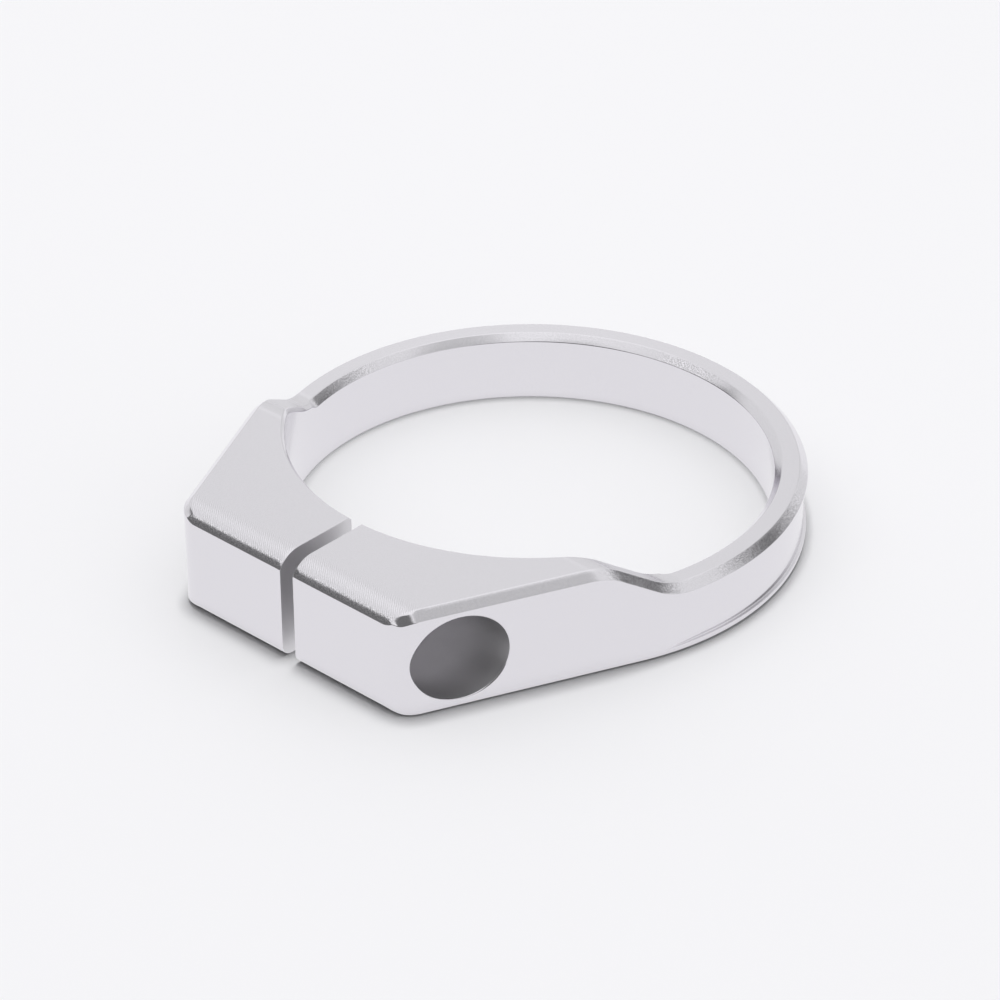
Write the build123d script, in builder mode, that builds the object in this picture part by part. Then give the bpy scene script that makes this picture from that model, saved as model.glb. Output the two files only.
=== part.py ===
from build123d import *
import math
import os

os.makedirs("parts", exist_ok=True)

# Frame
# Millimetres. The bore's axis is Z and the flat underside lies on z = 0.
# The lugs and their slit point along -Y. The clamp screw goes in from +X.

# Bore and ring
bore_diameter = 28.6
ring_wall = 1.95
ring_height = 4.35

# Lugs: a wedge whose two side faces are tangent to the ring
lug_height = 6.7
front_distance = 20.0
side_angle = 24.7
corner_radius = 2.0
slit_width = 1.0

# Nose: a steep facet above the front face, rolled over into the lugs' top, and a rounded foot
nose_first_round = 1.7
nose_facet_z = 5.68
nose_facet_angle = 50.0
nose_round = 1.7
nose_foot_round = 0.7

# Shoulder from the lugs' top down to the ring's top, in the side view
shoulder_angle = 32.0
shoulder_middle_y = -6.74
shoulder_middle_z = 5.56
shoulder_convex = 3.5
shoulder_concave = 4.0

# Edge breaks
outer_bevel = 0.45
lug_inner_bevel = 0.2
ring_inner_bevel = 0.45
inner_bevel_cutter = 1.5
foot_round = 0.3

# Relief milled into the ring's outer wall, between the foot lip and the top bevel
relief_depth = 0.25
relief_low = 0.5
relief_land = 0.05
relief_cutter = 4.0
relief_corner = 0.2
relief_end_angle = -14.0

# Clamp screw: head seat, clearance hole and threaded hole on one axis
screw_y = -16.7
screw_z = 3.2
seat_diameter = 5.3
seat_floor_x = 4.0
clearance_diameter = 3.2
thread_core_diameter = 2.5
thread_depth = 7.0
drill_point_angle = 118.0

# Derived points
bore_radius = bore_diameter / 2
ring_radius = bore_radius + ring_wall
relief_high = ring_height - outer_bevel - relief_land
beyond = 5.0

tangent_x = ring_radius * math.cos(math.radians(side_angle))
tangent_y = -ring_radius * math.sin(math.radians(side_angle))
corner_x = tangent_x - (front_distance + tangent_y) * math.tan(math.radians(side_angle))

slope = math.tan(math.radians(shoulder_angle))
half_turn = math.tan(math.radians(shoulder_angle / 2))
shoulder_top_y = shoulder_middle_y - (lug_height - shoulder_middle_z) / slope
shoulder_foot_y = shoulder_middle_y + (shoulder_middle_z - ring_height) / slope
convex_start_y = shoulder_top_y - shoulder_convex * half_turn
concave_end_y = shoulder_foot_y + shoulder_concave * half_turn


# Level arcs of a given radius about the bore's axis
def arcs_at(part, radius, z):
    level = part.edges().filter_by(GeomType.CIRCLE).filter_by_position(Axis.Z, z - 0.01, z + 0.01)
    return level.filter_by(lambda e: abs(e.radius - radius) < 0.01)


# Clamp body: ring, two lugs and the slit between them, milled from one piece
with BuildPart() as clamp_body:
    # Outline from above
    with BuildSketch(Plane.XY.offset(-beyond)) as outline:
        Circle(ring_radius)
        with BuildLine():
            Polyline(
                (0, 0),
                (tangent_x, tangent_y),
                (corner_x, -front_distance),
                (-corner_x, -front_distance),
                (-tangent_x, tangent_y),
                close=True,
            )
        make_face()
        fillet(outline.vertices().group_by(Axis.Y)[0], corner_radius)
    extrude(amount=lug_height + 2 * beyond)

    # Outline from the side: flat underside, flat lug top, shoulder, flat ring top
    with BuildSketch(Plane.YZ) as side_view:
        with BuildLine():
            lug_top = Line((-front_distance - beyond, lug_height), (convex_start_y, lug_height))
            convex = JernArc(lug_top @ 1, (1, 0), shoulder_convex, -shoulder_angle)
            concave = JernArc(
                (concave_end_y, ring_height), (-1, 0), shoulder_concave, -shoulder_angle
            )
            Line(convex @ 1, concave @ 1)
            Polyline(
                concave @ 0,
                (ring_radius + beyond, ring_height),
                (ring_radius + beyond, 0),
                (-front_distance - beyond, 0),
                lug_top @ 0,
            )
        make_face()
    extrude(amount=ring_radius + beyond, both=True, mode=Mode.INTERSECT)

    # Bore for the steerer tube
    with BuildSketch() as bore_circle:
        Circle(bore_radius)
    extrude(amount=lug_height, mode=Mode.SUBTRACT)

    # First pass over the nose, so that the outline bevel dips round the front corners
    first_drop = nose_first_round * (1 - math.cos(math.radians(nose_facet_angle)))
    first_reach = nose_first_round * math.sin(math.radians(nose_facet_angle))
    with BuildSketch(Plane.YZ) as nose_first_pass:
        with BuildLine():
            first_start = (first_reach - front_distance, lug_height)
            first_roll = JernArc(first_start, (-1, 0), nose_first_round, nose_facet_angle)
            Polyline(
                first_roll @ 1,
                (-front_distance - beyond, lug_height - first_drop),
                (-front_distance - beyond, lug_height + beyond),
                (first_start[0], lug_height + beyond),
                first_start,
            )
        make_face()
    extrude(amount=ring_radius, both=True, mode=Mode.SUBTRACT)

    # Edge breaks: each picked arc carries the break along the whole smooth edge it belongs to
    chamfer(arcs_at(clamp_body, ring_radius, ring_height)[0], outer_bevel)
    chamfer(arcs_at(clamp_body, bore_radius, ring_height)[0], lug_inner_bevel)
    fillet(arcs_at(clamp_body, ring_radius, 0)[0], foot_round)

    # Wider bevel round the ring's part of the bore, run out at the shoulders by a pointed cutter
    bevel_path = bore_radius + ring_inner_bevel - inner_bevel_cutter
    bevel_end_angle = -math.degrees(math.asin(-concave_end_y / bore_radius))
    bevel_turn = 180 - 2 * bevel_end_angle
    with BuildSketch(Plane.XZ.rotated((0, 0, bevel_end_angle))) as bevel_cut:
        with BuildLine():
            Polyline(
                (bevel_path, ring_height),
                (bevel_path + inner_bevel_cutter, ring_height),
                (bevel_path, ring_height - inner_bevel_cutter),
                close=True,
            )
        make_face()
    revolve(axis=Axis.Z, revolution_arc=bevel_turn, mode=Mode.SUBTRACT)
    with Locations(Location((0, 0, ring_height - inner_bevel_cutter))):
        with PolarLocations(bevel_path, 2, bevel_end_angle, bevel_turn, endpoint=True):
            Cone(
                0,
                2 * inner_bevel_cutter,
                2 * inner_bevel_cutter,
                align=(Align.CENTER, Align.CENTER, Align.MIN),
                mode=Mode.SUBTRACT,
            )

    # Nose waste above the facet and its roll-over, and foot waste below the front face
    facet_slope = math.tan(math.radians(nose_facet_angle))
    facet_top_y = (lug_height - nose_facet_z) / facet_slope - front_distance
    roll_reach = nose_round * math.tan(math.radians(nose_facet_angle / 2))
    with BuildSketch(Plane.YZ) as nose_waste:
        with BuildLine():
            roll_start = (facet_top_y + roll_reach, lug_height)
            roll = JernArc(roll_start, (-1, 0), nose_round, nose_facet_angle)
            Polyline(
                roll @ 1,
                (-front_distance, nose_facet_z),
                (-front_distance, lug_height),
                roll_start,
            )
        make_face()
        with BuildLine():
            foot_start = (nose_foot_round - front_distance, 0)
            foot_end = (-front_distance, nose_foot_round)
            RadiusArc(foot_start, foot_end, nose_foot_round)
            Polyline(foot_end, (-front_distance, 0), foot_start)
        make_face()
    extrude(amount=ring_radius, both=True, mode=Mode.SUBTRACT)

    # Slit that parts the two lugs
    with BuildSketch() as slit:
        with Locations((0, -front_distance)):
            Rectangle(slit_width, front_distance, align=(Align.CENTER, Align.MIN))
    extrude(amount=lug_height, mode=Mode.SUBTRACT)

    # Relief round the ring's outer wall, run in and out by a round cutter
    relief_radius = ring_radius - relief_depth
    cutter_path = relief_radius + relief_cutter
    relief_turn = 180 - 2 * relief_end_angle
    with BuildSketch(Plane.XY.offset(relief_low)) as relief:
        with BuildLine():
            wall = CenterArc((0, 0), relief_radius, relief_end_angle, relief_turn)
            outside = CenterArc((0, 0), cutter_path + relief_cutter, relief_end_angle, relief_turn)
            Line(wall @ 0, outside @ 0)
            Line(wall @ 1, outside @ 1)
        make_face()
        with PolarLocations(cutter_path, 2, relief_end_angle, relief_turn, endpoint=True):
            Circle(relief_cutter)
    extrude(amount=relief_high - relief_low, mode=Mode.SUBTRACT)
    fillet(arcs_at(clamp_body, relief_radius, relief_low)[0], relief_corner)
    fillet(arcs_at(clamp_body, relief_radius, relief_high)[0], relief_corner)

    # Screw holes on one axis: head seat in the right lug, clearance to the slit, thread in the left
    with BuildSketch(Plane.YZ.offset(seat_floor_x)) as seat:
        with Locations((screw_y, screw_z)):
            Circle(seat_diameter / 2)
    extrude(amount=ring_radius, mode=Mode.SUBTRACT)
    with BuildSketch(Plane.YZ) as clearance:
        with Locations((screw_y, screw_z)):
            Circle(clearance_diameter / 2)
    extrude(amount=seat_floor_x, mode=Mode.SUBTRACT)

    # The threaded hole is blind and ends in the drill's cone
    thread_radius = thread_core_diameter / 2
    thread_end_x = -slit_width / 2 - thread_depth
    cone_length = thread_radius / math.tan(math.radians(drill_point_angle / 2))
    with BuildSketch(Plane.XY.offset(screw_z)) as thread_core:
        with BuildLine():
            Polyline(
                (0, screw_y),
                (0, screw_y + thread_radius),
                (thread_end_x, screw_y + thread_radius),
                (thread_end_x - cone_length, screw_y),
                close=True,
            )
        make_face()
    revolve(axis=Axis((0, screw_y, screw_z), (1, 0, 0)), mode=Mode.SUBTRACT)

clamp_body.part.label = "clamp_body"
export_step(clamp_body.part, "parts/clamp_body.step")
print("clamp_body", clamp_body.part.is_valid, clamp_body.part.bounding_box())
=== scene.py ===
# %% [markdown]
# # Steerer tube clamp: one piece of satin silver aluminium
# This clamp closes round a bicycle's steerer tube. It is milled from a single piece: a thin
# ring, and two lugs that a screw pulls together across a slit. The measured model comes from
# CAD as a fixed frame, in metres. This lesson finishes it for a close-up: rounded edge breaks,
# the cut thread, the satin surface with its tool marks, a pale table and soft studio light.

import math

import bmesh
import bpy
import numpy as np
from mathutils import Matrix, Vector


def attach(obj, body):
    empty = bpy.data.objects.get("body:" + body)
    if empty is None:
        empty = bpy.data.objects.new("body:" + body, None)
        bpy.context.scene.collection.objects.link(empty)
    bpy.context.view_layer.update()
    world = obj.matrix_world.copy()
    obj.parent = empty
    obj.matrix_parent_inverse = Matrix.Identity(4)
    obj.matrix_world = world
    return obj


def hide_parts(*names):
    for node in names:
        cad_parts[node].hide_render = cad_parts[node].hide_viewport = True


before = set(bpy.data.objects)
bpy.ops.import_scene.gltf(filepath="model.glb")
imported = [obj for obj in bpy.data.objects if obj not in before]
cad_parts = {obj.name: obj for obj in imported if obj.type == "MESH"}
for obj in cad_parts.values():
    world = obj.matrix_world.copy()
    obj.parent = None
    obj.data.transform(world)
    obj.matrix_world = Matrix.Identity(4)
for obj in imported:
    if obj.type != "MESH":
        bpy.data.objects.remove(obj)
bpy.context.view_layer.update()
MM = 0.001

# %% [markdown]
# ## The camera
# A product photograph of a small part is usually taken with a long lens from about a quarter of
# a metre away, so that the ring looks like a clean ellipse. The camera stands on a sphere round
# the point it looks at: an azimuth and an elevation give its direction, and a small roll levels
# the picture.

# %% Camera at the photograph's angle
CAMERA_AZIMUTH = 43.059
CAMERA_ELEVATION = 32.066
CAMERA_ROLL = -0.357
CAMERA_DISTANCE = 245.27 * MM
LOOK_AT = Vector((0.938, -3.605, 3.457)) * MM
FOCAL_LENGTH, FILM_WIDTH = 152.32, 36


def add_camera():
    """Right, up and back are the camera's own axes, and the roll turns right and up about back."""
    azimuth, elevation, roll = map(math.radians, (CAMERA_AZIMUTH, CAMERA_ELEVATION, CAMERA_ROLL))
    back = Vector(
        (
            math.sin(azimuth) * math.cos(elevation),
            -math.cos(azimuth) * math.cos(elevation),
            math.sin(elevation),
        )
    )
    right = Vector((0, 0, 1)).cross(back).normalized()
    up = back.cross(right)
    rolled_right = right * math.cos(roll) + up * math.sin(roll)
    rolled_up = up * math.cos(roll) - right * math.sin(roll)
    data = bpy.data.cameras.new("photo_camera")
    data.lens = FOCAL_LENGTH
    data.sensor_width = FILM_WIDTH
    data.clip_start = 0.01
    data.clip_end = 20
    camera = bpy.data.objects.new("photo_camera", data)
    turn = Matrix((rolled_right, rolled_up, back)).transposed().to_4x4()
    camera.matrix_world = Matrix.Translation(LOOK_AT + back * CAMERA_DISTANCE) @ turn
    bpy.context.collection.objects.link(camera)
    bpy.context.scene.camera = camera
    return camera


camera = add_camera()
print("camera at", [round(c, 4) for c in camera.location])

# %% [markdown]
# ## A pale table
# The part lies on a wide, nearly white sweep. One Principled surface could be all of it. But the
# satin metal mirrors the table too, and in the photograph it mirrors it evenly, without the
# part's own contact shadow. Light Path tells a shader what kind of ray has reached it, so here it
# mixes in an even glow for the rays that come straight from the metal.
#
# Each helper below adds one node and gives back its output socket, so that a recipe of many nodes
# reads like arithmetic.

# %% Helpers for nodes
def new_material(name):
    """An empty node material, its nodes, its links and its output node."""
    material = bpy.data.materials.new(name)
    material.use_nodes = True
    nodes = material.node_tree.nodes
    nodes.clear()
    output = nodes.new("ShaderNodeOutputMaterial")
    return material, nodes, material.node_tree.links, output


def calculate(nodes, links, operation, *values):
    """One Math node whose inputs are sockets or plain numbers."""
    node = nodes.new("ShaderNodeMath")
    node.operation = operation
    for place, value in enumerate(values):
        if isinstance(value, (int, float)):
            node.inputs[place].default_value = value
        else:
            links.new(value, node.inputs[place])
    return node.outputs["Value"]


def smooth_step(nodes, links, value, low, high):
    """0 below low, 1 above high, and a smooth S between, 3t^2 - 2t^3."""
    step = nodes.new("ShaderNodeMapRange")
    step.interpolation_type = "SMOOTHSTEP"
    step.inputs["From Min"].default_value = low
    step.inputs["From Max"].default_value = high
    links.new(value, step.inputs["Value"])
    return step.outputs["Result"]


def fade(nodes, links, value, near, far):
    """1 below near, 0 above far, and a straight line between."""
    line = nodes.new("ShaderNodeMapRange")
    line.inputs["From Min"].default_value = near
    line.inputs["From Max"].default_value = far
    line.inputs["To Min"].default_value = 1.0
    line.inputs["To Max"].default_value = 0.0
    links.new(value, line.inputs["Value"])
    return line.outputs["Result"]


def towards(nodes, links, direction, axis):
    """The cosine of the angle between a direction and a fixed axis, by a dot product."""
    dot = nodes.new("ShaderNodeVectorMath")
    dot.operation = "DOT_PRODUCT"
    links.new(direction, dot.inputs[0])
    dot.inputs[1].default_value = axis
    return dot.outputs["Value"]


def split_axes(nodes, links, vector):
    """The X, Y and Z sockets of a vector."""
    axes = nodes.new("ShaderNodeSeparateXYZ")
    links.new(vector, axes.inputs["Vector"])
    return axes.outputs["X"], axes.outputs["Y"], axes.outputs["Z"]


def scaled(nodes, links, colour, amount):
    """A colour times a number."""
    product = nodes.new("ShaderNodeVectorMath")
    product.operation = "SCALE"
    links.new(colour, product.inputs[0])
    links.new(amount, product.inputs["Scale"])
    return product.outputs["Vector"]


# %% Pale table
TABLE_HALF_WIDTH = 1.5
TABLE_COLOUR = (0.858, 0.856, 0.872, 1)
GLOW_COLOUR, GLOW_STRENGTH, GLOW_SHARE = (0.94, 0.936, 0.955, 1), 1.06, 0.8


def add_table():
    """A wide flat square at z = 0."""
    corners = np.array([[-1, -1, 0], [1, -1, 0], [1, 1, 0], [-1, 1, 0]]) * TABLE_HALF_WIDTH
    mesh = bpy.data.meshes.new("table")
    mesh.from_pydata(corners.tolist(), [], [(0, 1, 2, 3)])
    table = bpy.data.objects.new("table", mesh)
    bpy.context.collection.objects.link(table)
    material, nodes, links, output = new_material("pale_table")
    paint = nodes.new("ShaderNodeBsdfPrincipled")
    paint.inputs["Base Color"].default_value = TABLE_COLOUR
    paint.inputs["Roughness"].default_value = 0.7
    paint.inputs["Specular IOR Level"].default_value = 0.2
    glow = nodes.new("ShaderNodeEmission")
    glow.inputs["Color"].default_value = GLOW_COLOUR
    glow.inputs["Strength"].default_value = GLOW_STRENGTH
    # The share of glow for a mirror ray, less 1 once the ray's path has met a matt surface
    path = nodes.new("ShaderNodeLightPath").outputs
    mirrored = calculate(nodes, links, "MULTIPLY", path["Is Glossy Ray"], GLOW_SHARE)
    share = calculate(nodes, links, "MULTIPLY_ADD", path["Diffuse Depth"], -1.0, mirrored)
    mix = nodes.new("ShaderNodeMixShader")
    links.new(calculate(nodes, links, "MAXIMUM", share, 0.0), mix.inputs["Fac"])
    links.new(paint.outputs["BSDF"], mix.inputs[1])
    links.new(glow.outputs["Emission"], mix.inputs[2])
    links.new(mix.outputs["Shader"], output.inputs["Surface"])
    mesh.materials.append(material)
    return table


table = add_table()
print("table", table.dimensions.x, "m wide")

# %% [markdown]
# ## The room that the metal mirrors
# A silver part shows the room round it more than its own colour. A light panel could stand where
# each bright face looks, but then a dark line in the metal would be a gap between two panels, and
# none could be moved alone. Here the room is one world shader, whose brightness is a function of
# direction. A ramp on height makes it a little darker low down. It loses light where the
# photograph's dark facets look: in the open front of the studio, at the camera's side, in a gap
# behind and on the right. The sweep behind is a little brighter low down. Each mask starts from a
# dot product with a fixed direction.

# %% Room round the part
# Directions on the unit sphere, as x, y, z
STUDIO_FRONT = (0, -1, 0)
CAMERA_SIDE = (0.305, -0.837, 0.454)
BACK_GAP = (0.408, 0.818, 0.407)
RIGHT_SIDE = (0.663, -0.093, 0.743)
BACK_SWEEP = (-0.609, 0.651, 0.454)
# What each mask changes in the room's light, as a part of it
FRONT_CHANGE, GAP_CHANGE, SIDE_CHANGE, SWEEP_CHANGE = -0.79, -0.79, -0.34, 0.13
# Brightness by height: z of the direction, and the level there
HEIGHT_LEVELS = (
    (0.0, 0.78), (0.35, 0.81), (0.60, 0.83), (0.72, 0.84), (0.80, 0.90), (0.87, 0.98), (1.0, 1.0)
)
# How much less the room's light counts on the table, and where the metal throws it there
LESS_ON_TABLE, LESS_BY_METAL = 0.38, 0.55


def room_masks(nodes, links, way, height):
    """Masks from 0 to 1, each with its change: front or camera's side, gap, side, sweep."""
    in_front = smooth_step(nodes, links, towards(nodes, links, way, STUDIO_FRONT), 0.22, 0.45)
    low = calculate(nodes, links, "SUBTRACT", 1, smooth_step(nodes, links, height, 0.510, 0.535))
    front = calculate(nodes, links, "MULTIPLY", in_front, low)
    lens = smooth_step(nodes, links, towards(nodes, links, way, CAMERA_SIDE), 0.857, 0.927)
    front = calculate(nodes, links, "MAXIMUM", front, lens)
    away = calculate(nodes, links, "ARCCOSINE", towards(nodes, links, way, BACK_GAP))
    gap = fade(nodes, links, away, 0.03, 0.42)
    side = smooth_step(nodes, links, towards(nodes, links, way, RIGHT_SIDE), 0.93, 0.995)
    sweep = smooth_step(nodes, links, towards(nodes, links, way, BACK_SWEEP), 0.9962, 0.9994)
    return (
        (front, FRONT_CHANGE), (gap, GAP_CHANGE), (side, SIDE_CHANGE), (sweep, SWEEP_CHANGE)
    )


def studio_room():
    """Brightness by direction: the ramp on height times 1 + change x mask, for every mask."""
    world = bpy.data.worlds.new("studio_room")
    world.use_nodes = True
    nodes, links = world.node_tree.nodes, world.node_tree.links
    way = nodes.new("ShaderNodeTexCoord").outputs["Generated"]
    height = split_axes(nodes, links, way)[2]
    ramp = nodes.new("ShaderNodeValToRGB")
    while len(ramp.color_ramp.elements) < len(HEIGHT_LEVELS):
        ramp.color_ramp.elements.new(0.5)
    for element, (place, level) in zip(ramp.color_ramp.elements, HEIGHT_LEVELS):
        element.position = place
        element.color = (level, level, level * 1.01, 1)
    links.new(height, ramp.inputs["Fac"])
    keep = 1
    for mask, change in room_masks(nodes, links, way, height):
        part = calculate(nodes, links, "MULTIPLY_ADD", mask, change, 1)
        keep = calculate(nodes, links, "MULTIPLY", keep, part)
    background = nodes["Background"].inputs
    links.new(scaled(nodes, links, ramp.outputs["Color"], keep), background["Color"])
    # 1 for what the lens and the metal see, and less for the light that falls on the table
    path = nodes.new("ShaderNodeLightPath").outputs
    on_table = calculate(nodes, links, "MINIMUM", path["Diffuse Depth"], 1)
    by_metal = calculate(nodes, links, "MINIMUM", path["Glossy Depth"], 1)
    less = calculate(nodes, links, "MULTIPLY_ADD", by_metal, LESS_BY_METAL, LESS_ON_TABLE)
    less = calculate(nodes, links, "MULTIPLY", on_table, less)
    links.new(calculate(nodes, links, "SUBTRACT", 1, less), background["Strength"])
    bpy.context.scene.world = world
    return world


world = studio_room()
print("room nodes:", len(world.node_tree.nodes))

# %% [markdown]
# ## The key panel
# The room lights the table from all sides, which leaves hardly any shadow. One soft square panel,
# nearly overhead and a little behind the part, gives the shadow its direction, and makes it dark
# where the part's foot nearly touches the table. Mirror rays don't see the panel, because the
# room already says what the metal mirrors.

# %% Key panel
KEY_PLACE = (-0.05, 0.045, 0.9)
KEY_WIDTH = 0.2
KEY_POWER = 5.0


def add_key_panel():
    """A soft square light that faces the part."""
    data = bpy.data.lights.new("key_panel", "AREA")
    data.shape = "RECTANGLE"
    data.size = KEY_WIDTH
    data.size_y = KEY_WIDTH
    data.energy = KEY_POWER
    panel = bpy.data.objects.new("key_panel", data)
    panel.location = KEY_PLACE
    panel.rotation_mode = "QUATERNION"
    panel.rotation_quaternion = Vector(KEY_PLACE).to_track_quat("Z", "Y")
    panel.visible_glossy = False
    bpy.context.collection.objects.link(panel)
    return panel


key_panel = add_key_panel()
bpy.context.scene.view_settings.view_transform = "Standard"
print(key_panel.name, KEY_POWER, "W at", KEY_PLACE)

# %% [markdown]
# ## The clamp's skin
# Seen close up, no edge of a real milled part is razor sharp: deburring leaves each one rounded
# by a few hundredths of a millimetre, and that thin round catches the light. The skin could be
# the CAD mesh with a Bevel modifier, but its loose triangles make a ragged bevel. Here it is one
# closed profile carried round the clamp instead, from one face of the slit to the other.
#
# First comes the outline from above, as a path: front line, corner, side line, ring.

# %% The clamp's measures in millimetres
BORE, RING, FRONT, HALF_SLIT = 14.3, 16.25, 20.0, 0.5
RING_TOP, LUG_TOP = 4.35, 6.7
SIDE = math.radians(24.7)
CORNER = 2.0
BEVEL, LUG_INNER_BEVEL, RING_INNER_BEVEL = 0.52, 0.2, 0.45
FOOT, NOSE_FOOT = 0.3, 0.7
SOFT_EDGE = 0.03

# %% The outline as a path
side_normal = np.array([math.cos(SIDE), -math.sin(SIDE)])
side_way = np.array([math.sin(SIDE), math.cos(SIDE)])
corner_centre = np.array([0.0, CORNER - FRONT])
corner_centre[0] = (RING - CORNER - side_normal[1] * corner_centre[1]) / side_normal[0]
side_start = corner_centre + CORNER * side_normal
side_end = RING * side_normal
front_end = corner_centre[0] - HALF_SLIT
corner_end = front_end + CORNER * (math.pi / 2 - SIDE)
side_stop = corner_end + np.linalg.norm(side_end - side_start)
half_length = side_stop + RING * (math.pi / 2 + SIDE)


def outline(s):
    """Points and outward normals at distance s along the right half: a line, two arcs, a line."""
    angle = np.select(
        [s < front_end, s < corner_end, s < side_stop],
        [-math.pi / 2 + 0 * s, -math.pi / 2 + (s - front_end) / CORNER, -SIDE + 0 * s],
        -SIDE + (s - side_stop) / RING,
    )
    normal = np.stack([np.cos(angle), np.sin(angle)], -1)
    point = np.select(
        [(s < front_end)[:, None], (s < corner_end)[:, None], (s < side_stop)[:, None]],
        [
            np.stack([HALF_SLIT + s, -FRONT + 0 * s], -1),
            corner_centre + CORNER * normal,
            side_start + (s - corner_end)[:, None] * side_way,
        ],
        RING * normal,
    )
    return point, normal, angle


def steps(start, stop, count):
    """Even steps that leave out the first value, so that runs join without doubles."""
    return np.linspace(start, stop, count + 1)[1:]


stations = np.concatenate(
    [
        [0.0],
        steps(0, front_end, 20),
        steps(front_end, corner_end, 28),
        steps(corner_end, side_stop, 56),
        steps(side_stop, half_length, 150),
    ]
)
outer, outer_normal, outer_angle = outline(stations)
slit_angle = -math.acos(HALF_SLIT / BORE)
inner_angle = np.where(
    stations < side_stop,
    slit_angle + (-SIDE - slit_angle) * stations / side_stop,
    outer_angle,
)
inner_normal = np.stack([np.cos(inner_angle), np.sin(inner_angle)], -1)
inner = BORE * inner_normal
across = outer - inner
width = np.linalg.norm(across, axis=1)
across /= width[:, None]
inner_slant = 1 / np.sum(across * inner_normal, axis=1)
outer_slant = 1 / np.sum(across * outer_normal, axis=1)
print("stations:", len(stations), "half outline in mm:", round(float(half_length), 3))

# %% [markdown]
# ## Height of the top
# From above, everything on the top is a height over the plan. Boolean cuts could take each form
# away in turn, but their creases would come out sharp. Heights can be mixed instead: the lowest
# wins, and a smooth minimum rounds the crease where two meet. First come the lugs' flat, the
# shoulder's two arcs and its slope, and the nose, which was rolled over in two passes.

# %% Side view and nose
SHOULDER = math.radians(32.0)
SHOULDER_MIDDLE = (-6.74, 5.56)
CONVEX, CONCAVE = 3.5, 4.0
NOSE_FACET_Z, NOSE_FACET, NOSE_ROUND = 5.86, math.radians(50.0), 1.5
NOSE_CREASE = math.radians(46.0)
# The facet's lower edge is broken: it drops this far, and the drop fades out over this reach
EDGE_DROP, EDGE_REACH = 0.05, 0.06
fall = math.tan(SHOULDER)
convex_start = SHOULDER_MIDDLE[0] - (LUG_TOP - SHOULDER_MIDDLE[1]) / fall
convex_start -= CONVEX * math.tan(SHOULDER / 2)
concave_stop = SHOULDER_MIDDLE[0] + (SHOULDER_MIDDLE[1] - RING_TOP) / fall
concave_stop += CONCAVE * math.tan(SHOULDER / 2)


def arc_drop(radius, reach):
    """How far a circle has fallen at a horizontal reach from its top."""
    return radius - np.sqrt(np.maximum(radius**2 - np.clip(reach, 0, radius) ** 2, 0))


def side_view(y):
    """Height of the lugs' flat, convex arc, slope, concave arc and ring top, and the slope."""
    slope_height = SHOULDER_MIDDLE[1] - fall * (y - SHOULDER_MIDDLE[0])
    convex_stop = convex_start + CONVEX * math.sin(SHOULDER)
    concave_start = concave_stop - CONCAVE * math.sin(SHOULDER)
    conditions = [y < convex_start, y < convex_stop, y < concave_start, y < concave_stop]
    height = np.select(
        conditions,
        [
            LUG_TOP + 0 * y,
            LUG_TOP - arc_drop(CONVEX, y - convex_start),
            slope_height,
            RING_TOP + arc_drop(CONCAVE, concave_stop - y),
        ],
        RING_TOP,
    )
    sine = np.select(
        conditions,
        [
            0 * y,
            (y - convex_start) / CONVEX,
            math.sin(SHOULDER) + 0 * y,
            (concave_stop - y) / CONCAVE,
        ],
        0,
    )
    return height, sine / np.sqrt(1 - np.clip(sine, 0, 0.9) ** 2)


def first_roll(y):
    """The nose's first round, which the outline bevel follows: its height and its sine."""
    start = NOSE_ROUND * math.sin(NOSE_FACET) - FRONT
    return LUG_TOP - arc_drop(NOSE_ROUND, start - y), np.clip((start - y) / NOSE_ROUND, 0, 0.9)


def nose(y):
    """The finished nose: a round that meets a facet above the front face at a faint crease."""
    facet = NOSE_FACET_Z + (y + FRONT) * math.tan(NOSE_FACET)
    facet_top = (LUG_TOP - NOSE_FACET_Z) / math.tan(NOSE_FACET) - FRONT
    crease_y = facet_top + NOSE_ROUND * (math.tan(NOSE_FACET / 2) - math.sin(NOSE_FACET))
    drop = NOSE_ROUND * (1 - math.cos(NOSE_FACET))
    radius = drop / (1 - math.cos(NOSE_CREASE))
    start = crease_y + radius * math.sin(NOSE_CREASE)
    facet = np.where(y > crease_y, LUG_TOP - arc_drop(radius, start - y), facet)
    return facet - EDGE_DROP * np.exp(-(y + FRONT) / EDGE_REACH)


print("shoulder from", round(convex_start, 3), "to", round(concave_stop, 3), "mm")

# %% [markdown]
# ## Bevels and the finished top
# A bevel falls off with the distance to its edge, and faster where that edge climbs, so that it
# keeps its width over the shoulder. At the front line the outline bevel is lifted clear of the
# nose, as far as it reaches, and only dips round the corners. Inside, a pointed cutter ran round
# the ring's part of the bore and left the mark of its cone at both ends.

# %% Bevels and finished top
SOFT_CREASE, SOFT_BEVEL = 0.04, 0.045
FRONT_LIFT, LIFT_REACH = 0.36, 0.22
BEVEL_CUTTER = 1.5
# How much faster than the shoulder itself the cutter's mark rises there
MARK_RISE = 1.6
bevel_end = -math.asin(-concave_stop / BORE)
cutter_centre = (BORE + RING_INNER_BEVEL - BEVEL_CUTTER) * np.array(
    [math.cos(bevel_end), math.sin(bevel_end)]
)


def lower(a, b, soft=SOFT_CREASE):
    """Smooth minimum: the lower of two heights, with the crease between them rounded."""
    overlap = np.maximum(soft - np.abs(a - b), 0)
    return np.minimum(a, b) - overlap**2 / (4 * soft)


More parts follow.
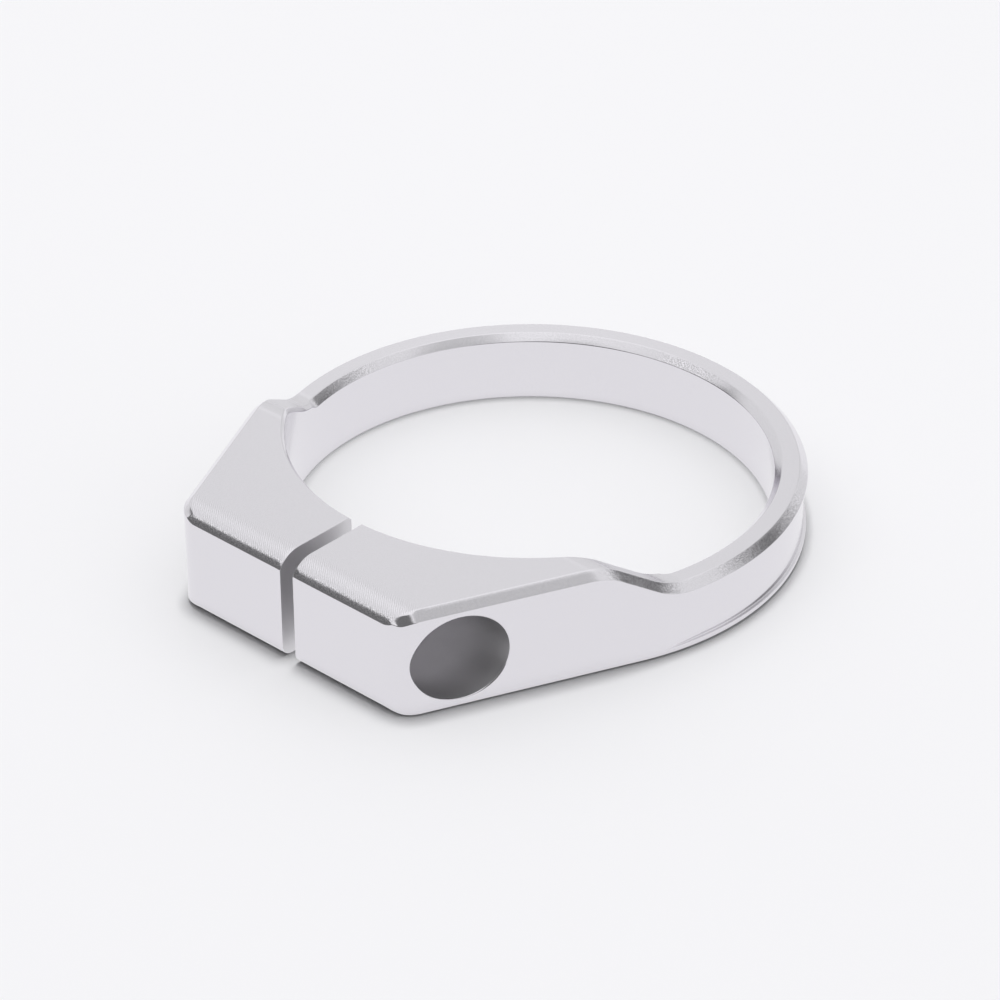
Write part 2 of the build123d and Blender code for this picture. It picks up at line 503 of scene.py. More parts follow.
def inside_distance(x, y):
    """Distance in plan to the outline: to the ring, to the side and front lines, or the corner."""
    along_side = (x - side_end[0]) * side_way[0] + (y - side_end[1]) * side_way[1]
    to_side = RING - x * side_normal[0] - y * side_normal[1]
    from_corner = np.hypot(x - corner_centre[0], y - corner_centre[1])
    before_side = (x - side_start[0]) * side_way[0] + (y - side_start[1]) * side_way[1] < 0
    in_corner = (x > corner_centre[0]) & before_side
    flat = np.minimum(to_side, y + FRONT)
    flat = np.where(in_corner, CORNER - from_corner, flat)
    return np.where(along_side > 0, RING - np.hypot(x, y), flat)


def top_height(x, y, climb):
    """The lowest of side view, nose and bevels; climb is the share of slope at the outline."""
    height, steepness = side_view(y)
    plain, roll_sine = first_roll(y)
    roll_steepness = roll_sine / np.sqrt(1 - roll_sine**2)
    stretch = np.sqrt(1 + (np.maximum(steepness, roll_steepness) * climb) ** 2)
    bevel = np.minimum(height, plain) - stretch * (BEVEL - inside_distance(x, y))
    bevel = bevel + FRONT_LIFT * np.exp(-(((y + FRONT) / LIFT_REACH) ** 2))
    from_bore = np.hypot(x, y) - BORE
    lug_bevel = height - stretch * (LUG_INNER_BEVEL - from_bore)
    past_end = np.arctan2(y, x) > bevel_end
    pointed = RING_TOP - BEVEL_CUTTER + np.hypot(x - cutter_centre[0], y - cutter_centre[1])
    pointed = pointed + MARK_RISE * (height - RING_TOP)
    ring_bevel = np.where(past_end, RING_TOP - RING_INNER_BEVEL + from_bore, pointed)
    top = lower(np.minimum(height, nose(y)), bevel, SOFT_BEVEL)
    return lower(lower(top, lug_bevel), ring_bevel)


print("the bore's ring bevel ends at", round(math.degrees(bevel_end), 2), "degrees")

# %% [markdown]
# ## The profile at every station
# One closed profile, always with the same number of points, goes up the bore wall, over the
# bevels and the top, down the outer wall with its milled relief, round the foot and back under.
# Points lie close together where an edge is rounded, and far apart on what is flat. The relief is
# the shallow band milled into the ring's outer wall, and it fades out towards the lugs.

# %% Relief in the outer wall
RELIEF_DEPTH, RELIEF_LOW, RELIEF_HIGH, RELIEF_CORNER = 0.2, 0.45, 3.78, 0.05
RELIEF_RUN = math.radians(-22.0), math.radians(-10.0)
# The rounds of the relief's upper and lower edge: up and down the wall, and into the relief
BROW, BROW_IN, SILL = 0.012, 0.015, 0.04


def soft_corner(before, corner, after, count=4):
    """A short parabola from before to after, pulled towards the corner; ends included."""
    t = np.linspace(0, 1, count + 1)[:, None]
    return (1 - t) ** 2 * before + 2 * t * (1 - t) * corner + t**2 * after


def relief_points():
    """The relief as fractions of its depth and heights, from its upper edge to its lower one."""
    turn = np.linspace(0, math.pi / 2, 7)
    ledge = RELIEF_DEPTH - RELIEF_CORNER
    upper_z = RELIEF_HIGH - RELIEF_CORNER * (1 - np.cos(turn))
    lower_z = RELIEF_LOW + RELIEF_CORNER * (1 - np.sin(turn))
    upper_arc = np.stack([ledge + RELIEF_CORNER * np.sin(turn), upper_z], -1)
    lower_arc = np.stack([ledge + RELIEF_CORNER * np.cos(turn), lower_z], -1)
    wall = np.linspace(upper_arc[-1], lower_arc[0], 7)[1:-1]
    high, low = np.array([0, RELIEF_HIGH]), np.array([0, RELIEF_LOW])
    over = soft_corner(high + [0, BROW], high, high + [BROW_IN, 0], 3)
    under = soft_corner(low + [SILL, 0], low, low - [0, SILL])
    points = np.concatenate([over, upper_arc, wall, lower_arc, under])
    return points[:, 0] / RELIEF_DEPTH, points[:, 1]


def relief_share(angle):
    """1 round the ring, and a smooth run-out to 0 towards the lugs, 3t^2 - 2t^3."""
    t = np.clip((angle - RELIEF_RUN[0]) / (RELIEF_RUN[1] - RELIEF_RUN[0]), 0, 1)
    return t**2 * (3 - 2 * t)


print("relief points:", len(relief_points()[0]))

# %% Points over the top
def top_points():
    """Distances across from the bore, close together at both edges and at the bevels."""
    column = np.ones((len(stations), 1))
    turn = np.clip(bevel_end - inner_angle, 0, 0.2)
    path = BORE + RING_INNER_BEVEL - BEVEL_CUTTER
    cone = np.sqrt(np.maximum(BEVEL_CUTTER**2 - (path * np.sin(turn)) ** 2, 0))
    bevel_in = np.maximum(LUG_INNER_BEVEL, path * np.cos(turn) + cone - BORE)[:, None]
    # Distances from the bore and from the outline, square to each
    near = np.array([-0.06, -0.03, 0.0, 0.03, 0.06])
    from_bore = np.concatenate([SOFT_EDGE * column, bevel_in / 2, bevel_in + near], 1)
    edge = np.array([SOFT_EDGE, 0.07, 0.12, 0.21, 0.29, 0.32, 0.346, 0.37])
    reach = np.clip(width[:, None] * 0.45, 0.75, 1.85)
    further = BEVEL + 0.06 + (reach - BEVEL - 0.06) * steps(0, 1, 12)
    from_edge = np.concatenate([edge * column, BEVEL + near[1:] * column, further], 1)[:, ::-1]
    # The same distances along the line from bore to outline
    a_in = from_bore * inner_slant[:, None]
    a_out = width[:, None] - from_edge * outer_slant[:, None]
    middle = a_in[:, -1:] + (a_out[:, :1] - a_in[:, -1:]) * steps(0, 1, 17)[:-1]
    return np.concatenate([a_in, middle, a_out], 1)


def height_across(a):
    """Height of the top at distances across from the bore, one row for each station."""
    spot = inner[:, None, :] + across[:, None, :] * a[:, :, None]
    return top_height(spot[..., 0], spot[..., 1], np.abs(outer_normal[:, :1]))


print("points over the top:", top_points().shape[1])

# %% Closed profiles
def skin_profiles():
    """Distances across and heights of the closed profile, one row for each station."""
    column = np.ones((len(stations), 1))
    a_top = top_points()
    z_top = height_across(a_top)
    z_in, z_out = height_across(0 * column), height_across(width[:, None])
    # Bore wall, from a soft lower edge to a soft upper one
    t = np.linspace(0, 1, 5)
    foot_a = SOFT_EDGE * (1 - t) ** 2 * inner_slant[:, None]
    foot_z = SOFT_EDGE * t**2 * column
    wall_z = SOFT_EDGE + (z_in - 2 * SOFT_EDGE) * steps(0, 1, 9)
    t = t[1:-1]
    lip_a = a_top[:, :1] * t**2
    lip_z = (1 - t) ** 2 * wall_z[:, -1:] + 2 * t * (1 - t) * z_in + t**2 * z_top[:, :1]
    # Outer wall: soft upper edge, plain part, relief, foot
    high = RELIEF_HIGH + BROW
    drop = np.minimum(SOFT_EDGE, (z_out - high) * 0.6)
    brow_a = width[:, None] + (a_top[:, -1:] - width[:, None]) * (1 - t) ** 2
    brow_z = (1 - t) ** 2 * z_top[:, -1:] + 2 * t * (1 - t) * z_out + t**2 * (z_out - drop)
    plain_z = z_out - drop + (high - z_out + drop) * np.linspace(0, 1, 6)[:-1]
    share, relief_z = relief_points()
    depth = relief_share(outer_angle)[:, None] * RELIEF_DEPTH
    # The foot's round grows to the nose's over 40 degrees of turn towards the front
    blend = np.clip((np.degrees(outer_angle[:, None]) + 90) / 40, 0, 1)
    foot = FOOT + (NOSE_FOOT - FOOT) * (1 - blend**2 * (3 - 2 * blend))
    low = np.maximum(RELIEF_LOW - SILL, foot + 0.01)
    relief_z = low + (relief_z - relief_z[-1]) * (high - low) / (high - relief_z[-1])
    turn = np.linspace(0, math.pi / 2, 9)
    outer_d = np.concatenate([0 * plain_z, share * depth, foot * (1 - np.cos(turn))], 1)
    outer_z = np.concatenate([plain_z, relief_z, foot * (1 - np.sin(turn))], 1)
    outer_a = width[:, None] - outer_d * outer_slant[:, None]
    under_a = outer_a[:, -1:] + (foot_a[:, :1] - outer_a[:, -1:]) * steps(0, 1, 12)[:-1]
    a = np.concatenate([foot_a, 0 * wall_z, lip_a, a_top, brow_a, outer_a, under_a], 1)
    z = np.concatenate([foot_z, wall_z, lip_z, z_top, brow_z, outer_z, 0 * under_a], 1)
    return a, z


profile_a, profile_z = skin_profiles()
print("profile points:", profile_a.shape[1])

# %% [markdown]
# ## From profiles to a mesh
# The right half's stations are followed by their mirror images, so both halves share the seam at
# the back. At the slit the profile shrinks a little over its last few hundredths, which rounds
# the slit's edges, and a flat face closes each end. The signed volume tells whether the faces
# point outwards.

# %% The skin's mesh
SLIT_ROUND = 0.02


def shrunk(y, z, amount):
    """A closed profile moved inwards by a small amount along its normals."""
    dy = np.roll(y, -1) - np.roll(y, 1)
    dz = np.roll(z, -1) - np.roll(z, 1)
    size = np.hypot(dy, dz)
    area = np.sum(y * np.roll(z, -1) - np.roll(y, -1) * z)
    sign = 1 if area > 0 else -1
    return y - sign * dz / size * amount, z + sign * dy / size * amount


def skin_grid():
    """Points of the whole skin as stations x profile x 3, in metres."""
    spot = inner[:, None, :] + across[:, None, :] * profile_a[:, :, None]
    grid = np.concatenate([spot, profile_z[:, :, None]], 2)
    ends = []
    for turn in np.radians([0, 30, 60]):
        y, z = shrunk(grid[0, :, 1], grid[0, :, 2], SLIT_ROUND * (1 - math.sin(turn)))
        x = np.full_like(y, HALF_SLIT + SLIT_ROUND * (1 - math.cos(turn)))
        ends.append(np.stack([x, y, z], -1))
    grid[0, :, 0] += SLIT_ROUND
    half = np.concatenate([np.array(ends), grid])
    other = half[-2::-1] * np.array([-1.0, 1.0, 1.0])
    return np.concatenate([half, other]) * MM


def mesh_from_grid(name, grid):
    """A closed tube: rows of points joined by quads, each row a loop, with a face on each end."""
    rows, columns = grid.shape[:2]
    index = np.arange(rows * columns).reshape(rows, columns)
    beside = np.roll(index, -1, axis=1)
    quads = np.stack([index[:-1], beside[:-1], beside[1:], index[1:]], -1).reshape(-1, 4)
    points = grid.reshape(-1, 3)
    tri = np.concatenate([quads[:, :3], quads[:, [0, 2, 3]]])
    p, q, r = points[tri[:, 0]], points[tri[:, 1]], points[tri[:, 2]]
    volume = np.sum(np.cross(p, q) * r)
    ends = [index[0][::-1].tolist(), index[-1].tolist()]
    faces = quads.tolist() + ends
    if volume < 0:
        faces = [face[::-1] for face in faces]
    mesh = bpy.data.meshes.new(name)
    mesh.from_pydata(points.tolist(), [], faces)
    mesh.validate()
    return mesh


def add_object(name, mesh):
    """An object at the origin that shows a mesh."""
    piece = bpy.data.objects.new(name, mesh)
    bpy.context.collection.objects.link(piece)
    return piece


skin = add_object("clamp_skin", mesh_from_grid("clamp_skin", skin_grid()))
print("skin faces:", len(skin.data.polygons))

# %% [markdown]
# ## The screw holes
# A hole's rim follows the face it comes out of, so a plain cylinder would leave it sharp. Each
# cutter here is a turned form whose first rings follow the side of the lug and flare a little.
# The left one carries the thread: its radius depends on the depth plus the turn, so that one
# turn moves the groove on by one pitch. An exact Boolean takes them out of the skin.

# %% Cutters
SCREW_Y, SCREW_Z = -16.7, 3.2
SEAT, SEAT_FLOOR, CLEARANCE, CORE = 2.65, 4.0, 1.6, 1.25
THREAD_DEPTH, PITCH, GROOVE = 7.0, 0.5, 0.25
RIM_ROUND, FLOOR_CORNER = 0.09, 0.15
COUNTERSINK, DRILL_POINT = 0.3, 0.7


def turned(x, radius, count=96):
    """Rings round the screw's axis; x and radius are numbers or one value for each angle."""
    turn = np.linspace(0, 2 * math.pi, count, endpoint=False)
    rows = []
    for place, size in zip(x, radius):
        size = size + 0 * turn
        y, z = SCREW_Y + size * np.cos(turn), SCREW_Z + size * np.sin(turn)
        rows.append(np.stack([place(y) if callable(place) else place + 0 * turn, y, z], -1))
    return np.array(rows) * MM


def lug_side(y):
    """The lug's side in plan: x of the side line, or of the corner arc near the front."""
    line = (RING - side_normal[1] * y) / side_normal[0]
    arc = corner_centre[0] + np.sqrt(np.maximum(CORNER**2 - (y - corner_centre[1]) ** 2, 0))
    return np.where(y > side_start[1], line, arc)


def seat_cutter():
    """Flared mouth, seat with a small floor corner, clearance hole and its own soft rim."""
    turn = np.radians([0, 15, 30, 45, 60, 75, 90])
    x = [lambda y: lug_side(y) + 1.5]
    radius = [SEAT + RIM_ROUND]
    for angle in turn:
        depth = RIM_ROUND * (1 - math.cos(angle)) - 0.002
        x.append(lambda y, depth=depth: lug_side(y) - depth)
        radius.append(SEAT + RIM_ROUND * (1 - math.sin(angle)))
    x += list(SEAT_FLOOR + FLOOR_CORNER * (1 - np.sin(turn))) + [SEAT_FLOOR, SEAT_FLOOR - 0.08]
    radius += list(SEAT - FLOOR_CORNER * (1 - np.cos(turn))) + [CLEARANCE + 0.08, CLEARANCE]
    x += list(HALF_SLIT + RIM_ROUND * (1 - np.sin(turn))) + [0.1]
    radius += list(CLEARANCE + RIM_ROUND * (1 - np.cos(turn))) + [CLEARANCE + RIM_ROUND]
    return mesh_from_grid("seat_cutter", turned(x, radius))


def thread_cutter():
    """Countersunk mouth, a groove that winds down the core, then the drill's cone."""
    count = 48
    turn = np.linspace(0, 2 * math.pi, count, endpoint=False)
    depth = np.arange(0, THREAD_DEPTH + 0.001, PITCH / 10)
    phase = (depth[:, None] / PITCH + turn / (2 * math.pi)) % 1
    # A V with a narrow flat at its top and bottom, which runs out before the hole's end
    groove = np.clip(1.12 - np.abs(2 * phase - 1) * 1.24, 0, 1) * GROOVE
    run_out = np.clip((THREAD_DEPTH - 0.8 - depth) / 0.5, 0, 1)[:, None]
    radius = np.maximum(CORE + groove * run_out, CORE + COUNTERSINK - depth[:, None])
    x = [-0.1] + list(-HALF_SLIT - depth) + [-HALF_SLIT - THREAD_DEPTH - DRILL_POINT]
    radius = [radius[0]] + list(radius) + [0.04]
    return mesh_from_grid("thread_cutter", turned(x, radius, count))


def cut(piece, mesh):
    """Takes a cutter's form out of a piece and keeps the result as the piece's own mesh."""
    cutter = add_object(mesh.name, mesh)
    boolean = piece.modifiers.new("cut", "BOOLEAN")
    boolean.operation = "DIFFERENCE"
    boolean.solver = "EXACT"
    boolean.object = cutter
    graph = bpy.context.evaluated_depsgraph_get()
    result = bpy.data.meshes.new_from_object(piece.evaluated_get(graph))
    piece.modifiers.clear()
    old = piece.data
    piece.data = result
    bpy.data.objects.remove(cutter)
    bpy.data.meshes.remove(old)


cut(skin, seat_cutter())
cut(skin, thread_cutter())
skin.data.name = "clamp_skin"
print("faces after the holes are cut:", len(skin.data.polygons))

# %% [markdown]
# ## Clean reflections on flat faces
# A smooth mesh averages the directions of its faces at each point, and so a flat face next to a
# tiny round would mirror the room bent at its rim. Faces that lie on a flat or on the ring's
# cylinders get that surface's own direction at their corners instead.

# %% Directions at the mesh's corners
ON_SURFACE = 3e-4


def on_known_surface(spot, normal, slack, angle):
    """For points in millimetres: the direction of the flat or cylinder they lie on, else zero."""
    known = np.zeros_like(spot)
    cos_side, sin_side = side_normal[0], -side_normal[1]
    flats = [
        ((0, 0, 1), LUG_TOP), ((0, 0, 1), RING_TOP), ((0, 0, -1), 0), ((0, -1, 0), FRONT),
        ((cos_side, -sin_side, 0), RING), ((-cos_side, -sin_side, 0), RING),
        ((-1, 0, 0), -HALF_SLIT), ((1, 0, 0), -HALF_SLIT), ((1, 0, 0), SEAT_FLOOR),
    ]
    for direction, offset in flats:
        direction = np.array(direction, float)
        near = np.abs(spot @ direction - offset) < slack
        known[near & (normal @ direction > angle)] = direction
    radius = np.hypot(spot[:, 0], spot[:, 1])
    outwards = spot * np.array([1, 1, 0]) / radius[:, None]
    for size, sign in ((BORE, -1), (RING, 1), (RING - RELIEF_DEPTH, 1)):
        on = (np.abs(radius - size) < slack + 1e-3) & (np.sum(normal * outwards, 1) * sign > angle)
        known[on] = sign * outwards[on]
    return known


def read(collection, name, width=3):
    """One value of every vertex, corner or face, as an array."""
    values = np.empty(len(collection) * width)
    collection.foreach_get(name, values)
    return values.reshape(-1, width)


def true_normals(mesh):
    """Smooth directions at corners, and the known ones on faces that are flat or round."""
    mesh.polygons.foreach_set("use_smooth", np.ones(len(mesh.polygons), bool))
    spot = read(mesh.vertices, "co") / MM
    smooth = read(mesh.vertex_normals, "vector")
    known = on_known_surface(spot, smooth, ON_SURFACE, 0.8)
    smooth = np.where(np.any(known, 1)[:, None], known, smooth)
    vertex = read(mesh.loops, "vertex_index", 1)[:, 0].astype(int)
    corners = read(mesh.polygons, "loop_total", 1)[:, 0].astype(int)
    face = np.repeat(np.arange(len(mesh.polygons)), corners)
    middle = read(mesh.polygons, "center") / MM
    flat = on_known_surface(middle, read(mesh.polygons, "normal"), ON_SURFACE, 0.9995)
    corner = smooth[vertex]
    upright = np.abs(flat[:, 2]) < 0.5
    is_flat = np.any(flat, 1)
    radius = np.hypot(middle[:, 0], middle[:, 1])
    is_round = is_flat & upright & (np.abs(np.sum(flat[:, :2] * middle[:, :2], 1)) > radius - 1e-6)
    on_flat = (is_flat & ~is_round)[face]
    corner[on_flat] = flat[face][on_flat]
    outwards = spot[vertex] * np.array([1, 1, 0])
    outwards /= np.linalg.norm(outwards, axis=1)[:, None]
    sign = np.sign(np.sum(flat[face] * outwards, 1))[:, None]
    corner = np.where(is_round[face][:, None], sign * outwards, corner)
    mesh.normals_split_custom_set(corner)
    return int(is_flat.sum()), len(mesh.polygons)


print("flat or round faces, of all:", true_normals(skin.data))
check = bmesh.new()
check.from_mesh(skin.data)
volume = round(check.calc_volume() / MM**3, 1)
open_edges = sum(not edge.is_manifold for edge in check.edges)
print("skin:", len(check.faces), "faces,", volume, "mm3,", open_edges, "open edges")
check.free()
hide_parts("clamp_body")
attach(skin, "root")

# %% [markdown]
# ## Grain and tool marks
# Anodised aluminium is a metal under a thin clear oxide. The etch before it leaves a fine grain
# that sparkles where a face mirrors the edge of a lamp. The form cutter that rolled the nose left
# slanting ticks 0.15 mm apart. An image could hold both, but at this size noise and a sine wave do,
# and they stay sharp. Each effect is a node group: fine_grain and nose_rows put out heights, and
# broken_light finds facets by the direction a face looks in: those whose specks carry painted
# glints, and the shoulder's slope, whose colour carries painted shade.

# %% Node groups
def new_group(name, inputs, outputs):
    """A shader node group with plain number sockets and their starting values."""
    group = bpy.data.node_groups.new(name, "ShaderNodeTree")
    for title, value in inputs:
        socket = group.interface.new_socket(title, in_out="INPUT", socket_type="NodeSocketFloat")
        socket.default_value = value
    for title in outputs:
        group.interface.new_socket(title, in_out="OUTPUT", socket_type="NodeSocketFloat")
    nodes = group.nodes
    return group, nodes, group.links, nodes.new("NodeGroupInput"), nodes.new("NodeGroupOutput")


def noise(nodes, links, place, scale, detail=2.0, roughness=0.6):
    """Noise at a scale in grains per metre, on the object's own coordinates."""
    node = nodes.new("ShaderNodeTexNoise")
    node.inputs["Detail"].default_value = detail
    node.inputs["Roughness"].default_value = roughness
    links.new(place, node.inputs["Vector"])
    if isinstance(scale, float):
        node.inputs["Scale"].default_value = scale
    else:
        links.new(scale, node.inputs["Scale"])
    return node.outputs["Fac"]


def fine_grain_group():
    """Height: small grains plus a slower unevenness. Patches: large soft areas, 0 to 1."""
    group, nodes, links, given, result = new_group(
        "fine_grain", (("Grains per metre", 9000.0),), ("Height", "Patches")
    )
    place = nodes.new("ShaderNodeTexCoord").outputs["Object"]
    small = noise(nodes, links, place, given.outputs["Grains per metre"])
    slow = noise(nodes, links, place, 900.0, 3.0)
    height = calculate(nodes, links, "MULTIPLY_ADD", slow, 0.35, small)
    links.new(height, result.inputs["Height"])
    links.new(noise(nodes, links, place, 160.0, 3.0), result.inputs["Patches"])
    return group


def nose_rows_group():
    """Height of the ticks: sin(2 pi (x + 0.75 y + noise) / pitch), broken up by more noise.

    They stay where the nose is rolled: near the front, above the facet, on faces that look ahead.
    """
    group, nodes, links, given, result = new_group(
        "nose_rows", (("Pitch", 0.15 * MM),), ("Height",)
    )
    place = nodes.new("ShaderNodeTexCoord").outputs["Object"]
    x, y, z = split_axes(nodes, links, place)
    along = calculate(nodes, links, "MULTIPLY_ADD", y, 0.75, x)
    turns = calculate(nodes, links, "DIVIDE", along, given.outputs["Pitch"])
    turns = calculate(nodes, links, "ADD", noise(nodes, links, place, 4000.0), turns)
    row = calculate(nodes, links, "SINE", calculate(nodes, links, "MULTIPLY", turns, 2 * math.pi))
    broken = smooth_step(nodes, links, noise(nodes, links, place, 5000.0), 0.35, 0.6)
    in_front = fade(nodes, links, y, -18.8 * MM, -18.2 * MM)
    above = smooth_step(nodes, links, z, 6.08 * MM, 6.16 * MM)
    facing = nodes.new("ShaderNodeNewGeometry").outputs["Normal"]
    sideways = calculate(nodes, links, "ABSOLUTE", split_axes(nodes, links, facing)[0])
    for mask in (in_front, above, broken, fade(nodes, links, sideways, 0.15, 0.3)):
        row = calculate(nodes, links, "MULTIPLY", row, mask)
    links.new(row, result.inputs["Height"])
    return group


# Directions of the facets that mirror the room's dark parts, where the specks carry painted glints:
# the nose's, and the right bevels'
NOSE_FACET_WAY = (0, -0.766, 0.643)
RIGHT_BEVEL_WAY = (0.70, 0.14, 0.70)


def broken_light_group():
    """Masks by a face's direction: Bevels, Dark (nose facet, bevels to the right), Shoulder.

    Specks is a noise from 0 to 1. Dark, on the facets that mirror the room's dark parts, is where
    the specks get the strongest contrast, as painted glints. Shoulder is where the gloss is duller
    and the colour carries painted shade.
    """
    group, nodes, links, given, result = new_group(
        "broken_light", (("Specks per metre", 15000.0),), ("Bevels", "Dark", "Shoulder", "Specks")
    )
    place = nodes.new("ShaderNodeTexCoord").outputs["Object"]
    facing = nodes.new("ShaderNodeNewGeometry").outputs["Normal"]
    _, y, z = split_axes(nodes, links, facing)
    rising = smooth_step(nodes, links, z, 0.25, 0.5)
    tilted = calculate(nodes, links, "MULTIPLY", rising, fade(nodes, links, z, 0.80, 0.94))
    backward = smooth_step(nodes, links, y, 0.2, 0.5)
    steep = smooth_step(nodes, links, z, 0.74, 0.82)
    nose_side = towards(nodes, links, facing, NOSE_FACET_WAY)
    nose_side = smooth_step(nodes, links, nose_side, 0.985, 0.998)
    gap_side = towards(nodes, links, facing, RIGHT_BEVEL_WAY)
    gap_side = smooth_step(nodes, links, gap_side, 0.965, 0.995)
    specks = noise(nodes, links, place, given.outputs["Specks per metre"], 1.0, 0.5)
    masks = {
        "Bevels": tilted,
        "Dark": calculate(nodes, links, "MAXIMUM", nose_side, gap_side),
        "Shoulder": calculate(nodes, links, "MULTIPLY", backward, steep),
        "Specks": smooth_step(nodes, links, specks, 0.36, 0.64),
    }
    for title, mask in masks.items():
        links.new(mask, result.inputs[title])
    return group


fine_grain = fine_grain_group()
nose_rows = nose_rows_group()
broken_light = broken_light_group()
print("node groups:", fine_grain.name, nose_rows.name, broken_light.name)


def place_group(nodes, group):
    """A node that stands for a group inside a material."""
    node = nodes.new("ShaderNodeGroup")
    node.node_tree = group
    return node


def bump(nodes, links, height, depth, under=None):
    """A Bump node whose full height is a depth in metres, on top of another one if given."""
    node = nodes.new("ShaderNodeBump")
    node.inputs["Strength"].default_value = 1.0
    node.inputs["Distance"].default_value = depth
    links.new(height, node.inputs["Height"])
    if under is not None:
        links.new(under, node.inputs["Normal"])
    return node.outputs["Normal"]


# %% [markdown]
# ## Satin aluminium
# The finish is a Principled metal. One roughness all over would look like plastic foil, so soft
# patches vary it a little, and the colour with it. The specks vary single grains. On the bevels,
# and most of all on the dark facets, their stronger contrast is painted glints. The shoulder's
# slope is duller than the rest, and its darker colour there is painted shade.

# %% Satin aluminium
SATIN_TONES = (0.79, 0.776, 0.806, 1), (0.80, 0.786, 0.817, 1)
SATIN_GLOSS = 0.13, 0.17
GRAIN_DEPTH, ROW_DEPTH = 0.0018 * MM, 0.0006 * MM
# Contrast of the specks on plain faces, and what it gains on bevels and on dark facets as painted
# glints
PLAIN_SPECKS, BEVEL_GLINTS, DARK_FACET_GLINTS = 0.025, 0.05, 0.4
ROW_SHADE = 0.10
# Painted shade in the shoulder's colour, and how much duller its gloss is
SHOULDER_PAINTED_SHADE, SHOULDER_DULLER = -0.16, 0.15


def between(nodes, links, value, low, high):
    """A number that goes from low to high as a value goes from 0 to 1."""
    line = nodes.new("ShaderNodeMapRange")
    line.inputs["To Min"].default_value = low
    line.inputs["To Max"].default_value = high
    links.new(value, line.inputs["Value"])
    return line.outputs["Result"]


def two_tones(nodes, links, value, first, second):
    """A colour that goes from one tone to another as a value goes from 0 to 1."""
    tones = nodes.new("ShaderNodeMix")
    tones.data_type = "RGBA"
    tones.inputs["A"].default_value = first
    tones.inputs["B"].default_value = second
    links.new(value, tones.inputs["Factor"])
    return tones.outputs["Result"]


def satin_aluminium():
    """The etched and anodised skin: grain, the nose's ticks, and soft patches in its gloss."""
    material, nodes, links, output = new_material("satin_aluminium")
    metal = nodes.new("ShaderNodeBsdfPrincipled")
    metal.inputs["Metallic"].default_value = 1.0
    grain = place_group(nodes, fine_grain).outputs
    rows = place_group(nodes, nose_rows).outputs["Height"]
    broken = place_group(nodes, broken_light).outputs
    normal = bump(nodes, links, grain["Height"], GRAIN_DEPTH)
    links.new(bump(nodes, links, rows, ROW_DEPTH, normal), metal.inputs["Normal"])
    gloss = between(nodes, links, grain["Patches"], *SATIN_GLOSS)
    gloss = calculate(nodes, links, "MULTIPLY_ADD", broken["Shoulder"], SHOULDER_DULLER, gloss)
    links.new(gloss, metal.inputs["Roughness"])
    # 1 + contrast x (half - specks) + ticks, less painted shade on the shoulder; the specks' extra
    # contrast on bevels and dark facets is painted glints
    contrast = calculate(nodes, links, "MULTIPLY_ADD", broken["Bevels"], BEVEL_GLINTS, PLAIN_SPECKS)
    contrast = calculate(nodes, links, "MULTIPLY_ADD", broken["Dark"], DARK_FACET_GLINTS, contrast)
    specks = calculate(nodes, links, "SUBTRACT", 0.5, broken["Specks"])
    shade = calculate(nodes, links, "MULTIPLY_ADD", specks, contrast, 1)
    shade = calculate(nodes, links, "MULTIPLY_ADD", rows, ROW_SHADE, shade)
    shade = calculate(nodes, links, "MULTIPLY_ADD", broken["Shoulder"], SHOULDER_PAINTED_SHADE, shade)
    colour = two_tones(nodes, links, grain["Patches"], *SATIN_TONES)
    links.new(scaled(nodes, links, colour, shade), metal.inputs["Base Color"])
    links.new(metal.outputs["BSDF"], output.inputs["Surface"])
    return material


print("satin gloss from", SATIN_GLOSS[0], "to", SATIN_GLOSS[1])

# %% [markdown]
# ## Drilled and sawn faces
# The screw's seat, its hole, the thread and the slit's two walls are not polished before the
# anodising. They are the same metal, but rougher, so they look darker and flatter. The second
# material uses the same grain with its own values, and goes to the faces that lie inside the holes
# or the slit. Its colour also carries painted shade near the seat's mouth and on the slit's walls.

# %% Drilled aluminium
DRILLED_TONES = (0.91, 0.90, 0.918, 1), (0.94, 0.93, 0.947, 1)
DRILLED_GLOSS = 0.42, 0.52
DRILLED_GRAINS, DRILLED_DEPTH = 7000.0, 0.004 * MM
# Painted shade in the colour near the seat's mouth and on the slit's walls
MOUTH_PAINTED_SHADE, SLIT_PAINTED_SHADE = -0.38, -0.13


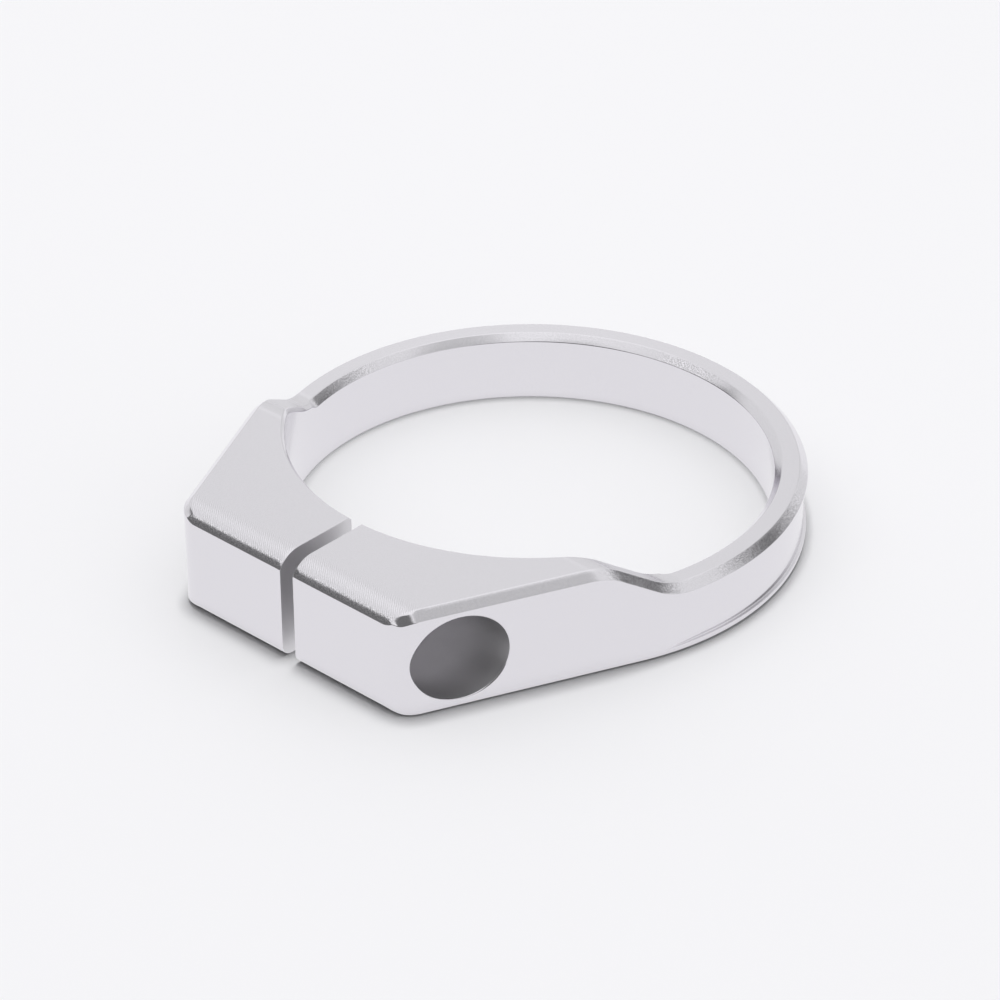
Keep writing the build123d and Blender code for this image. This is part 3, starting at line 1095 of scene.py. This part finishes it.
def drilled_aluminium():
    """The same metal with a coarser grain, a duller, uneven gloss, and painted shade near the
    seat's mouth and on the slit's walls.
    """
    material, nodes, links, output = new_material("drilled_aluminium")
    metal = nodes.new("ShaderNodeBsdfPrincipled")
    metal.inputs["Metallic"].default_value = 1.0
    grain_node = place_group(nodes, fine_grain)
    grain_node.inputs["Grains per metre"].default_value = DRILLED_GRAINS
    grain = grain_node.outputs
    links.new(bump(nodes, links, grain["Height"], DRILLED_DEPTH), metal.inputs["Normal"])
    gloss = between(nodes, links, grain["Patches"], *DRILLED_GLOSS)
    links.new(gloss, metal.inputs["Roughness"])
    # Painted shade darkens the seat's walls near its mouth, within a few millimetres of the side
    # face
    place = nodes.new("ShaderNodeTexCoord").outputs["Object"]
    out = towards(nodes, links, place, (math.cos(SIDE), -math.sin(SIDE), 0))
    mouth = smooth_step(nodes, links, out, (RING - 3.2) * MM, (RING - 0.6) * MM)
    shade = calculate(nodes, links, "MULTIPLY_ADD", mouth, MOUTH_PAINTED_SHADE, 1)
    # and painted shade darkens the slit's walls
    from_slit = calculate(nodes, links, "ABSOLUTE", split_axes(nodes, links, place)[0])
    slit_wall = fade(nodes, links, from_slit, 0.55 * MM, 0.7 * MM)
    shade = calculate(nodes, links, "MULTIPLY_ADD", slit_wall, SLIT_PAINTED_SHADE, shade)
    colour = two_tones(nodes, links, grain["Patches"], *DRILLED_TONES)
    links.new(scaled(nodes, links, colour, shade), metal.inputs["Base Color"])
    links.new(metal.outputs["BSDF"], output.inputs["Surface"])
    return material


def give_materials(mesh):
    """Faces inside the screw's holes, and those in the slit, take the second material."""
    middle = read(mesh.polygons, "center") / MM
    x, y, z = middle.T
    from_axis = np.hypot(y - SCREW_Y, z - SCREW_Z)
    hole = np.where(x > SEAT_FLOOR - 0.1, SEAT, CLEARANCE + 0.1)
    in_lug = (x > HALF_SLIT) & (x < lug_side(y) - 0.03)
    in_seat = (from_axis < hole + 0.001) & in_lug
    in_thread = (from_axis < CORE + GROOVE + 0.1) & (x > -9) & (x < -HALF_SLIT)
    in_slit = (np.abs(x) < HALF_SLIT + 0.001) & (y < 0)
    mesh.polygons.foreach_set("material_index", (in_seat | in_thread | in_slit).astype(np.int32))
    return int(in_seat.sum()), int(in_thread.sum()), int(in_slit.sum())


skin.data.materials.clear()
skin.data.materials.append(satin_aluminium())
skin.data.materials.append(drilled_aluminium())
print("faces in the seat, the thread and the slit:", give_materials(skin.data))
